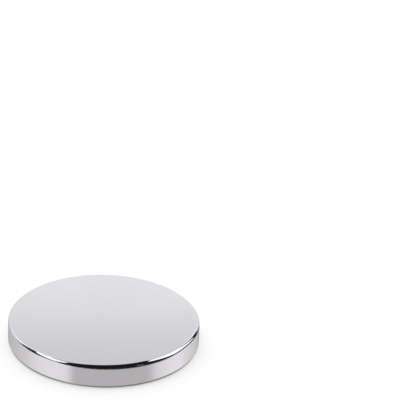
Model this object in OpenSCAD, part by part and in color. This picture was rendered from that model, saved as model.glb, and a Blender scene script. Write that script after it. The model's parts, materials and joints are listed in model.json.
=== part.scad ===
// Nickel-plated disc magnet: a plain flat disc with a small radius turned
// all round the edge of both faces.
// The origin is the centre of the bottom face, and +Z is the disc's axis.
// Units are millimetres.

/* [Disc] */
// Diameter across the rim
disc_diameter = 22; // [10:0.5:60]
// Thickness between the two flat faces
disc_thickness = 3; // [2:0.1:12]

/* [Edges] */
// Radius of the rounded edge between the bottom face and the rim
bottom_edge_radius = 0.5; // [0.1:0.05:0.95]
// Radius of the rounded edge between the top face and the rim
top_edge_radius = 0.5; // [0.1:0.05:0.95]

/* [Hidden] */

plating_colour = [0.78, 0.78, 0.79];
disc_radius = disc_diameter / 2;
$fn = 180;

// Corner of the half section: a circle that touches a face and the rim.
module edge_round(edge_radius, face_side) {
    translate([disc_radius - edge_radius, face_side * edge_radius])
        circle(r = edge_radius);
}

// Half section of the disc, from its axis at x = 0 out to the rim.
module half_section() {
    // The part inside the edge rounds that reaches each flat face.
    square([disc_radius - bottom_edge_radius, disc_thickness / 2]);
    translate([0, disc_thickness / 2])
        square([disc_radius - top_edge_radius, disc_thickness / 2]);
    // The straight rim between the edge rounds.
    translate([0, bottom_edge_radius])
        square([disc_radius, disc_thickness - bottom_edge_radius - top_edge_radius]);
    edge_round(bottom_edge_radius, 1);
    translate([0, disc_thickness])
        edge_round(top_edge_radius, -1);
}

// The whole magnet, turned about its axis.
module disc() {
    color(plating_colour)
        rotate_extrude()
            half_section();
}

disc();
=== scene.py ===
import json
import math

import bpy
import numpy as np
from bpy.props import FloatProperty, FloatVectorProperty, PointerProperty
from bpy.types import Operator, Panel, PropertyGroup
from mathutils import Matrix, Vector


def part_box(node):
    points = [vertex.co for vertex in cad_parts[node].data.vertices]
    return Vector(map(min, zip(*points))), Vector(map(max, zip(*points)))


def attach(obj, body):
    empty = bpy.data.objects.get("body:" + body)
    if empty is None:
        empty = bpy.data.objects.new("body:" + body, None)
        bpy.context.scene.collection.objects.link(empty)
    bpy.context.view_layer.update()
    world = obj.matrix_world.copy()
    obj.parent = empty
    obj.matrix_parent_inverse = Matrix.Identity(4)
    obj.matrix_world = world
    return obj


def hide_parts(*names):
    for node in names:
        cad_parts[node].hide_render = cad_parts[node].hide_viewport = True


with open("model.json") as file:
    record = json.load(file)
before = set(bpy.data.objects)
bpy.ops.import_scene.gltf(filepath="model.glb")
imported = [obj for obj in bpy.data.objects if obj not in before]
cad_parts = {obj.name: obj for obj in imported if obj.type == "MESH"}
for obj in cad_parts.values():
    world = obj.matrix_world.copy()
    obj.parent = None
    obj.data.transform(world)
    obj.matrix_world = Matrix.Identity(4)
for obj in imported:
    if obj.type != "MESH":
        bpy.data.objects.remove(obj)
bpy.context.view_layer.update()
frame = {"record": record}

bl_info = {
    "name": "Disc magnet",
    "version": (1, 0, 0),
    "blender": (4, 5, 0),
    "location": "3D View > Sidebar > Magnet",
    "description": "A nickel-plated disc magnet lying on a white studio floor",
    "category": "Add Mesh",
}

DISC_LOW, DISC_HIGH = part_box("disc")
RIM_LENGTH = next(m["dims"]["length_mm"] for m in frame["record"]["mounts"] if m["name"] == "rim") / 1000
# The solid comes as flat facets, so its box is a hair wider one way than the other. The lesser width keeps
# the turned disc inside it.
DIAMETER = min(DISC_HIGH[0] - DISC_LOW[0], DISC_HIGH[1] - DISC_LOW[1])
THICKNESS = DISC_HIGH[2] - DISC_LOW[2]
EDGE_RADIUS = (THICKNESS - RIM_LENGTH) / 2


# ---------------------------------------------------------------- shader maths

class Wire:
    """A node's output. Python's operators on it add Math nodes to its tree."""

    def __init__(self, tree, socket):
        self.tree = tree
        self.socket = socket

    def out(self, name):
        """Another output of the same node."""
        return Wire(self.tree, self.socket.node.outputs[name])

    def _math(self, operation, first, second):
        return self.tree.add("ShaderNodeMath", {"operation": operation}, {0: first, 1: second})

    def __add__(self, other):
        return self._math("ADD", self, other)

    def __radd__(self, other):
        return self._math("ADD", other, self)

    def __sub__(self, other):
        return self._math("SUBTRACT", self, other)

    def __rsub__(self, other):
        return self._math("SUBTRACT", other, self)

    def __mul__(self, other):
        return self._math("MULTIPLY", self, other)

    def __rmul__(self, other):
        return self._math("MULTIPLY", other, self)

    def __neg__(self):
        return self._math("MULTIPLY", self, -1.0)


class Tree:
    """A node tree that is being filled. Each node comes from the one method add."""

    def __init__(self, owner):
        owner.use_nodes = True
        self.nodes = owner.node_tree.nodes
        self.links = owner.node_tree.links
        self.nodes.clear()

    def add(self, kind, settings=None, inputs=None, output=0):
        """Makes a node of this type, sets its settings, then sets or links its sockets."""
        node = self.nodes.new(kind)
        for name, value in (settings or {}).items():
            if name == "stops":
                fill_ramp(node.color_ramp, value)
            else:
                setattr(node, name, value)
        for name, value in (inputs or {}).items():
            if isinstance(value, Wire):
                self.links.new(value.socket, node.inputs[name])
            else:
                node.inputs[name].default_value = value
        return Wire(self, node.outputs[output]) if node.outputs else None

    def rise(self, value, start, end):
        """A smooth step, from 0 at start to 1 at end and level beyond them. It may run downwards."""
        return self.add("ShaderNodeMapRange", {"interpolation_type": "SMOOTHSTEP"},
                        {"Value": value, "From Min": start, "From Max": end}, "Result")

    def band(self, value, low, high, soft):
        """1 between low and high and 0 outside, with each end smoothed over soft."""
        above = self.rise(value, low - soft / 2, low + soft / 2)
        return above * (1 - self.rise(value, high - soft / 2, high + soft / 2))

    def most(self, first, second):
        """The larger of two values."""
        return self.add("ShaderNodeMath", {"operation": "MAXIMUM"}, {0: first, 1: second})

    def follow(self, value, stops):
        """The height of a line through these (place, height) stops, level beyond its two ends."""
        places, heights = zip(*stops)
        start, span = places[0], places[-1] - places[0]
        low, height = min(heights), max(heights) - min(heights)
        ramp = [((place - start) / span, (point - low) / height) for place, point in stops]
        along = (value - start) * (1 / span)
        line = self.add("ShaderNodeValToRGB", {"stops": ramp}, {"Fac": along}, "Color")
        return line * height + low

    def noise(self, place, scale, detail):
        """Soft noise from 0 to 1. Scale counts its blobs to the metre."""
        return self.add("ShaderNodeTexNoise", {"noise_dimensions": "3D"},
                        {"Vector": place, "Scale": scale, "Detail": detail}, "Fac")


def fill_ramp(ramp, stops):
    """Gives a ramp these (place, grey) stops."""
    while len(ramp.elements) < len(stops):
        ramp.elements.new(1.0)
    for element, (place, grey) in zip(ramp.elements, stops):
        element.position = place
        element.color = (grey, grey, grey, 1.0)


def blend(first, second, mask):
    """first where the mask is 0 and second where it is 1."""
    return first + (second - first) * mask


# ---------------------------------------------------------------- sizes and colours a user may change

class DiscShape(PropertyGroup):
    diameter: FloatProperty(
        name="Diameter", description="Across the rim", default=DIAMETER, min=0.001, unit="LENGTH")
    thickness: FloatProperty(
        name="Thickness", description="Between the two flat faces", default=THICKNESS,
        min=0.0005, unit="LENGTH")
    edge_radius: FloatProperty(
        name="Edge radius", description="Radius round the edge of each face", default=EDGE_RADIUS,
        min=0.00005, unit="LENGTH")


class PlatingFinish(PropertyGroup):
    colour: FloatVectorProperty(
        name="Colour", description="Colour of the bright nickel", default=(0.775, 0.762, 0.80),
        min=0.0, max=1.0, subtype="COLOR")
    roughness: FloatProperty(
        name="Roughness", description="Roughness of the clear parts of the plating", default=0.04,
        min=0.0, max=1.0, subtype="FACTOR")
    cloudiness: FloatProperty(
        name="Cloudiness", description="Roughness added in the faint clouds of the plating", default=0.02,
        min=0.0, max=1.0, subtype="FACTOR")


class StudioStage(PropertyGroup):
    floor_size: FloatProperty(
        name="Floor size", description="Side of the square floor", default=2.4, min=0.1, unit="LENGTH")
    sun_strength: FloatProperty(
        name="Sun strength", description="Strength of the wide lamp that lights the floor",
        default=2.1, min=0.0)
    camera_tilt: FloatProperty(
        name="Camera tilt", description="How far the camera looks down", default=math.radians(26.64),
        subtype="ANGLE")
    camera_roll: FloatProperty(
        name="Camera roll", description="Turn of the camera about its line of sight",
        default=math.radians(2.22), subtype="ANGLE")
    camera_distance: FloatProperty(
        name="Camera distance", description="From the camera to the disc, along the line of sight",
        default=0.3462, min=0.01, unit="LENGTH")
    camera_aside: FloatProperty(
        name="Camera aside", description="How far the line of sight passes to the right of the disc",
        default=0.01049, unit="LENGTH")
    camera_above: FloatProperty(
        name="Camera above", description="How far the line of sight passes above the disc",
        default=0.0167, unit="LENGTH")
    lens: FloatProperty(
        name="Lens", description="Focal length of the camera", default=270.0, min=1.0, unit="CAMERA")


# ---------------------------------------------------------------- the disc

def half_profile(radius, thickness, edge_radius, arc_steps=24):
    """Half section of the disc, from the bottom face out round the rim and in over the top face. Each edge
    is a quarter circle: at turn t it lies edge_radius * sin t outwards and edge_radius * (1 - cos t) up
    from where the flat face ends. The top half is the bottom half turned over. Each row holds the distance
    from the axis, the height, and the outward and the upward part of the normal."""
    inner = radius - edge_radius
    turn = np.linspace(0.0, np.pi / 2, arc_steps + 1)
    low_arc = np.stack([inner + edge_radius * np.sin(turn), edge_radius * (1 - np.cos(turn)),
                        np.sin(turn), -np.cos(turn)], axis=1)
    low_face = np.array([[inner / 2, 0.0, 0.0, -1.0]])
    low_half = np.concatenate([low_face, low_arc])
    high_half = low_half[::-1] * (1, -1, 1, -1) + (0, thickness, 0, 0)
    return np.concatenate([low_half, high_half])


def turned_mesh(name, profile, top, turns=384):
    """The surface that the profile sweeps about the z axis: point (r, z) of the profile at angle a lies at
    (r cos a, r sin a, z), and its normal turns with it. Each end closes with a fan about one point on the
    axis, at heights 0 and top."""
    angle = np.arange(turns) * (2 * np.pi / turns)
    around = np.stack([np.cos(angle), np.sin(angle)], axis=1)
    rings = len(profile)
    points = np.empty((rings, turns, 3))
    normals = np.empty((rings, turns, 3))
    points[..., :2] = profile[:, None, 0:1] * around
    points[..., 2] = profile[:, None, 1]
    normals[..., :2] = profile[:, None, 2:3] * around
    normals[..., 2] = profile[:, None, 3]
    poles = np.array([[0.0, 0.0, 0.0], [0.0, 0.0, top]])
    pole_normals = np.array([[0.0, 0.0, -1.0], [0.0, 0.0, 1.0]])
    low_pole, high_pole = rings * turns, rings * turns + 1

    here = np.arange(turns)
    beyond = (here + 1) % turns
    row = np.arange(rings - 1)[:, None] * turns
    quads = np.stack([row + here, row + beyond, row + turns + beyond, row + turns + here], axis=-1)
    low_fan = np.stack([np.full(turns, low_pole), beyond, here], axis=1)
    last = (rings - 1) * turns
    high_fan = np.stack([np.full(turns, high_pole), last + here, last + beyond], axis=1)

    points = np.concatenate([points.reshape(-1, 3), poles])
    normals = np.concatenate([normals.reshape(-1, 3), pole_normals])
    faces = quads.reshape(-1, 4).tolist() + low_fan.tolist() + high_fan.tolist()
    mesh = bpy.data.meshes.new(name)
    mesh.from_pydata(points.tolist(), [], faces)
    mesh.validate()
    mesh.shade_smooth()
    mesh.normals_split_custom_set_from_vertices(normals.tolist())
    return mesh


# ---------------------------------------------------------------- the plating

# Blobs to the metre: the clouds are some 6 mm across, the swell 2 mm and the grain less than half of one.
CLOUD_SCALE = 170.0
SWELL_SCALE = 420.0
GRAIN_SCALE = 2600.0
# The swell's height in metres, the grain's as a share of it, how bright a cloud is next to the rest, and
# the noise at which a cloud starts and is full.
SWELL_HEIGHT = 0.0000004
GRAIN_SHARE = 0.3
CLOUD_TINT = 0.985
CLOUD_EDGE = (0.35, 0.7)


def nickel_plating(finish):
    """Bright nickel: a mirror with very faint clouds, over the slight swell and grain of plated metal."""
    material = bpy.data.materials.new("nickel_plating")
    tree = Tree(material)
    place = tree.add("ShaderNodeTexCoord", output="Object")
    clouds = tree.rise(tree.noise(place, CLOUD_SCALE, 3.0), *CLOUD_EDGE)
    grain = tree.noise(place, GRAIN_SCALE, 2.0)
    swell = tree.noise(place, SWELL_SCALE, 1.0)
    roughness = finish.roughness + finish.cloudiness * clouds

    tint = tree.add("ShaderNodeMix", {"data_type": "RGBA"},
                    {"Factor": clouds, "A": (*finish.colour, 1.0),
                     "B": (*[CLOUD_TINT * c for c in finish.colour], 1.0)}, "Result")
    bump = tree.add("ShaderNodeBump", None,
                    {"Strength": 1.0, "Distance": SWELL_HEIGHT, "Height": grain * GRAIN_SHARE + swell},
                    "Normal")
    shader = tree.add("ShaderNodeBsdfPrincipled", None,
                      {"Base Color": tint, "Metallic": 1.0, "Roughness": roughness, "Normal": bump}, "BSDF")
    tree.add("ShaderNodeOutputMaterial", None, {"Surface": shader})
    return material


# ---------------------------------------------------------------- the studio

# The studio that the metal mirrors, by direction, in degrees. Azimuth 0 is the front, -Y, and 90 is the
# right, +X. Elevation is above the horizon. A TOP is the elevation that a thing reaches and a LIGHT is its
# brightness, where 1 is white. The lists go by azimuth, apart from the two of the walls, which go by
# elevation, and FOOT_TOP, which goes by the turn away from the front to either side. An EDGE holds where a
# thing starts to fade in and where it is full.
GROUND_LIGHT = [(-180, 0.36), (-150, 0.56), (-128, 0.64), (-104, 0.75), (-82, 0.90), (-58, 0.94),
                (-43, 0.88), (-38, 0.75), (-34, 0.61), (-30, 0.555), (54, 0.555), (61, 0.62), (69, 0.79),
                (78, 0.87), (91, 0.95), (109, 0.95), (119, 0.86), (139, 0.73), (155, 0.60), (180, 0.36)]
GROUND_TOP = [(-98, -10), (-91, -14), (-86, -13), (-78, -11), (-70, -6), (-50, -8), (-40, -14), (-26, -20),
              (-10, -25), (45, -25), (62, -20), (72, -22), (82, -18), (92, -10), (104, -7), (114, -6),
              (126, -12), (134, -17), (148, -23), (154, -20), (162, -13)]
BELT_TOP = [(-124, -13), (-112, 0), (-106, 5), (-101, 26), (-97, 41), (-94, 39), (-88, 31), (-81, 21),
            (-66, 12), (-54, 7), (-47, 26), (60, 60), (66, 59), (71, 51), (76, 41), (84, 21), (90, 13),
            (102, 13), (112, 15), (120, 11), (127, 6), (134, 3), (141, -1), (147, -6), (153, -15),
            (160, -26)]
SOFTBOX_TOP = [(-124, -20), (-116, 8), (-108, 36), (-101, 56), (-90, 58), (-76, 50), (-62, 54), (-46, 52),
               (62, 54), (74, 60), (88, 62), (102, 64), (116, 60), (126, 56), (134, 46), (142, 36)]
SOFTBOX_SIDES = (-124.0, 134.0)
LEFT_SOFTBOX_LIGHT = 1.3
RIGHT_SOFTBOX_LIGHT = 1.35
WALL_LIGHT = [(20.0, 0.90), (40.0, 0.80)]
BACK_WALL_LIGHT = [(28.4, 0.99), (29.7, 0.745)]
BACK_WALL_EDGE = (165.0, 175.0)
FRONT_LIGHT = 0.32
FRONT_EDGE = (0.15, -0.4)
BLACK = 0.012
SLIT_SIDES = (128.5, 140.5)
SLIT_TOP_EDGE = (44.0, 40.0)
FOOT_TOP = [(20, -54), (90, -40), (140, -34)]
FOOT_LIGHT = 0.26
LEFT_FOOT_LIGHT = 0.4
LEFT_FOOT_SIDES = (-95.0, -40.0)
# Cards, each between two azimuths and two elevations, and strips right round, each between two elevations.
BACK_CARD = (140.0, 160.0), (26.0, 42.0)
BACK_CARD_LIGHT = 1.1
TOP_CARD = (41.0, 49.0), (13.2, 16.6)
LEFT_CARD = (-94.0, -86.0), (2.2, 3.8)
FILL_CARD_LIGHT = 0.8
HIGH_STRIP = (-3.6, -2.4)
HIGH_STRIP_SHARE = 0.6
LOW_STRIP = (-16.2, -14.2)
# The two planes through the disc that bound the black cloth, each as the way that it faces: x, y, z.
CLOTH_LEFT = (1.15, -1.0, 0.18)
CLOTH_RIGHT = (-1.0, -0.68, 0.58)
WHITE = (1.0, 1.0, 1.0, 1.0)
WARM_GROUND = (1.02, 1.005, 0.985, 1.0)
WARM_EDGE = (-20.0, -28.0)


class Direction:
    """The way that a ray points, as a unit vector and as angles in degrees."""

    def __init__(self, tree):
        parts = tree.add("ShaderNodeSeparateXYZ",
                         inputs={"Vector": tree.add("ShaderNodeTexCoord", output="Generated")})
        self.tree = tree
        self.x, self.y, self.z = parts.out("X"), parts.out("Y"), parts.out("Z")
        degrees = 180 / math.pi
        self.elevation = tree.add("ShaderNodeMath", {"operation": "ARCSINE"}, {0: self.z}) * degrees
        azimuth = tree.add("ShaderNodeMath", {"operation": "ARCTAN2"}, {0: self.x, 1: -self.y})
        self.azimuth = azimuth * degrees
        self.turn = tree.add("ShaderNodeMath", {"operation": "ABSOLUTE"}, {0: self.azimuth})

    def below(self, top, soft):
        """1 below a top that changes with azimuth and 0 above it, smoothed over soft."""
        return self.tree.rise(self.tree.follow(self.azimuth, top) - self.elevation, -soft / 2, soft / 2)

    def card(self, sides, ends, side_soft, end_soft):
        """1 between two azimuths and two elevations and 0 elsewhere."""
        across = self.tree.band(self.azimuth, *sides, side_soft)
        return across * self.tree.band(self.elevation, *ends, end_soft)

    def ahead(self, plane, soft):
        """1 on the side that a plane through the disc faces and 0 behind it, smoothed over soft."""
        height = plane[2] * self.z + plane[0] * self.x + plane[1] * self.y
        return self.tree.rise(height, -soft / 2, soft / 2)


def walls_and_softboxes(tree, way):
    """A pale wall behind, a grey front, and a softbox on each side that stands on a black belt."""
    wall = tree.follow(way.elevation, WALL_LIGHT)
    back_wall = tree.follow(way.elevation, BACK_WALL_LIGHT)
    wall = blend(wall, back_wall, tree.rise(way.turn, *BACK_WALL_EDGE))
    light = blend(wall, FRONT_LIGHT, tree.rise(way.y + 0.25 * way.x, *FRONT_EDGE))
    softbox = blend(LEFT_SOFTBOX_LIGHT, RIGHT_SOFTBOX_LIGHT, tree.rise(way.azimuth, -5.0, 5.0))
    light = blend(light, softbox, tree.band(way.azimuth, *SOFTBOX_SIDES, 8.0) * way.below(SOFTBOX_TOP, 8.0))
    return blend(light, BLACK, way.below(BELT_TOP, 6.0))


def cloth_and_slit(tree, way, light):
    """Adds a black slit at the back end of the right softbox, a bright card beyond it, and black cloth in
    front and overhead, between two leaning planes."""
    slit = tree.band(way.azimuth, *SLIT_SIDES, 2.0) * tree.rise(way.elevation, *SLIT_TOP_EDGE)
    light = blend(light, BLACK, slit)
    light = blend(light, BACK_CARD_LIGHT, way.card(*BACK_CARD, 4.0, 4.0))
    return blend(light, BLACK, way.ahead(CLOTH_LEFT, 0.08) * way.ahead(CLOTH_RIGHT, 0.04))


def pale_ground(tree, way):
    """The ground, greyer in front and behind, with a dark foot straight below."""
    ground = tree.follow(way.azimuth, GROUND_LIGHT)
    foot_light = blend(FOOT_LIGHT, LEFT_FOOT_LIGHT, tree.band(way.azimuth, *LEFT_FOOT_SIDES, 20.0))
    above_foot = tree.rise(way.elevation - tree.follow(way.turn, FOOT_TOP), -2.0, 2.0)
    return blend(foot_light, ground, above_foot)


def fills(tree, way, light, ground):
    """Adds two thin strips of pale ground, which keep the rim pale when it is seen from low down, and two
    small cards, which do the same for the top face."""
    light = blend(light, HIGH_STRIP_SHARE * ground, tree.band(way.elevation, *HIGH_STRIP, 0.2))
    light = blend(light, ground, tree.band(way.elevation, *LOW_STRIP, 0.3))
    cards = tree.most(way.card(*TOP_CARD, 0.5, 0.3), way.card(*LEFT_CARD, 0.5, 0.2))
    return blend(light, FILL_CARD_LIGHT, cards)


def studio_light(tree):
    """The studio round the disc, as brightness and as tint by direction."""
    way = Direction(tree)
    light = walls_and_softboxes(tree, way)
    light = cloth_and_slit(tree, way, light)
    ground = pale_ground(tree, way)
    light = blend(ground, light, tree.rise(way.elevation - tree.follow(way.azimuth, GROUND_TOP), -1.0, 1.0))
    light = fills(tree, way, light, ground)
    tint = tree.add("ShaderNodeMix", {"data_type": "RGBA"},
                    {"Factor": tree.rise(way.elevation, *WARM_EDGE), "A": WHITE, "B": WARM_GROUND},
                    "Result")
    return light, tint


def studio_world():
    """The studio for the metal and the floor, and plain white for the camera."""
    world = bpy.data.worlds.new("studio")
    tree = Tree(world)
    seen = tree.add("ShaderNodeLightPath", output="Is Camera Ray")
    light, tint = studio_light(tree)
    strength = blend(light, 1.0, seen)
    background = tree.add("ShaderNodeBackground", None, {"Color": tint, "Strength": strength}, "Background")
    tree.add("ShaderNodeOutputWorld", None, {"Surface": background})
    return world


# FLOOR_GLOW is the share of what the camera sees of the floor that is the floor's own light.
FLOOR_GREY = (0.93, 0.93, 0.93, 1.0)
FLOOR_GLOW = 0.55
FLOOR_HEIGHT = -0.00001
SUN_WIDTH = math.radians(60)
SUN_LEAN = math.radians(10)


def studio_floor(size):
    """A white sheet just under the disc, which the metal doesn't mirror. To the camera it glows in part, so
    that it meets the white background without a line and keeps nearly half of the disc's shadow."""
    half = size / 2
    square = ((-half, -half), (half, -half), (half, half), (-half, half))
    corners = [(x, y, FLOOR_HEIGHT) for x, y in square]
    mesh = bpy.data.meshes.new("floor")
    mesh.from_pydata(corners, [], [(0, 1, 2, 3)])
    floor = bpy.data.objects.new("floor", mesh)
    floor.visible_glossy = False
    material = bpy.data.materials.new("white_floor")
    tree = Tree(material)
    seen = tree.add("ShaderNodeLightPath", output="Is Camera Ray")
    sheet = tree.add("ShaderNodeBsdfPrincipled", None,
                     {"Base Color": FLOOR_GREY, "Roughness": 0.9}, "BSDF")
    glow = tree.add("ShaderNodeEmission", None, {"Color": WHITE, "Strength": 1.0}, "Emission")
    shader = tree.add("ShaderNodeMixShader", None, {0: seen * FLOOR_GLOW, 1: sheet, 2: glow}, "Shader")
    tree.add("ShaderNodeOutputMaterial", None, {"Surface": shader})
    mesh.materials.append(material)
    return floor


def wide_sun(strength):
    """A very wide lamp from above. It lights the floor and leaves no image in the metal."""
    lamp = bpy.data.lights.new("wide_sun", "SUN")
    lamp.energy = strength
    lamp.angle = SUN_WIDTH
    sun = bpy.data.objects.new("wide_sun", lamp)
    sun.rotation_euler = (SUN_LEAN, 0, 0)
    sun.visible_glossy = False
    return sun


def long_lens_camera(stage):
    """A camera with a long lens, above and in front of the disc. Its line of sight passes above the disc
    and to its right, and it is turned a little about that line."""
    data = bpy.data.cameras.new("camera")
    data.sensor_width = 36
    data.lens = stage.lens
    data.clip_start = 0.01
    data.clip_end = 10
    camera = bpy.data.objects.new("camera", data)
    forward = Vector((0, math.cos(stage.camera_tilt), -math.sin(stage.camera_tilt)))
    right = Vector((1, 0, 0))
    up = right.cross(forward)
    place = right * stage.camera_aside + up * stage.camera_above - forward * stage.camera_distance
    turn = Matrix.Rotation(stage.camera_roll, 3, -forward)
    axes = Matrix((turn @ right, turn @ up, -forward)).transposed()
    camera.matrix_world = Matrix.Translation(place) @ axes.to_4x4()
    return camera


# ---------------------------------------------------------------- operators and panel

# The fields that Blender itself gives every property group.
BLENDER_FIELDS = ("rna_type", "name")


class MESH_OT_magnet_disc(Operator):
    """Adds the plated disc in place of the plain solid"""
    bl_idname = "mesh.magnet_disc"
    bl_label = "Magnet disc"

    def execute(self, context):
        shape = context.scene.magnet_shape
        profile = half_profile(shape.diameter / 2, shape.thickness, shape.edge_radius)
        disc = bpy.data.objects.new("magnet_disc", turned_mesh("magnet_disc", profile, shape.thickness))
        disc.data.materials.append(nickel_plating(context.scene.magnet_finish))
        context.scene.collection.objects.link(disc)
        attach(disc, "root")
        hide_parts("disc")
        return {"FINISHED"}


class SCENE_OT_magnet_stage(Operator):
    """Adds the studio, its floor, its lamp and the camera"""
    bl_idname = "scene.magnet_stage"
    bl_label = "Studio stage"

    def execute(self, context):
        scene = context.scene
        stage = scene.magnet_stage
        floor = studio_floor(stage.floor_size)
        camera = long_lens_camera(stage)
        for thing in (floor, wide_sun(stage.sun_strength), camera):
            scene.collection.objects.link(thing)
        scene.world = studio_world()
        scene.camera = camera
        scene.view_settings.view_transform = "Standard"
        return {"FINISHED"}


class VIEW3D_PT_magnet(Panel):
    """Lists the sizes, the finish and the stage"""
    bl_idname = "VIEW3D_PT_magnet"
    bl_label = "Disc magnet"
    bl_space_type = "VIEW_3D"
    bl_region_type = "UI"
    bl_category = "Magnet"

    def draw(self, context):
        scene = context.scene
        for group, operator in ((scene.magnet_shape, MESH_OT_magnet_disc), (scene.magnet_finish, None),
                                (scene.magnet_stage, SCENE_OT_magnet_stage)):
            for name in group.bl_rna.properties.keys():
                if name not in BLENDER_FIELDS:
                    self.layout.prop(group, name)
            if operator:
                self.layout.operator(operator.bl_idname)


CLASSES = (DiscShape, PlatingFinish, StudioStage,
           MESH_OT_magnet_disc, SCENE_OT_magnet_stage, VIEW3D_PT_magnet)
GROUPS = {"magnet_shape": DiscShape, "magnet_finish": PlatingFinish, "magnet_stage": StudioStage}


def register():
    for cls in CLASSES:
        bpy.utils.register_class(cls)
    for name, group in GROUPS.items():
        setattr(bpy.types.Scene, name, PointerProperty(type=group))


def unregister():
    for name in GROUPS:
        delattr(bpy.types.Scene, name)
    for cls in reversed(CLASSES):
        bpy.utils.unregister_class(cls)


def main():
    """Makes the disc and its stage."""
    register()
    bpy.ops.mesh.magnet_disc()
    bpy.ops.scene.magnet_stage()


if __name__ == "__main__":
    main()
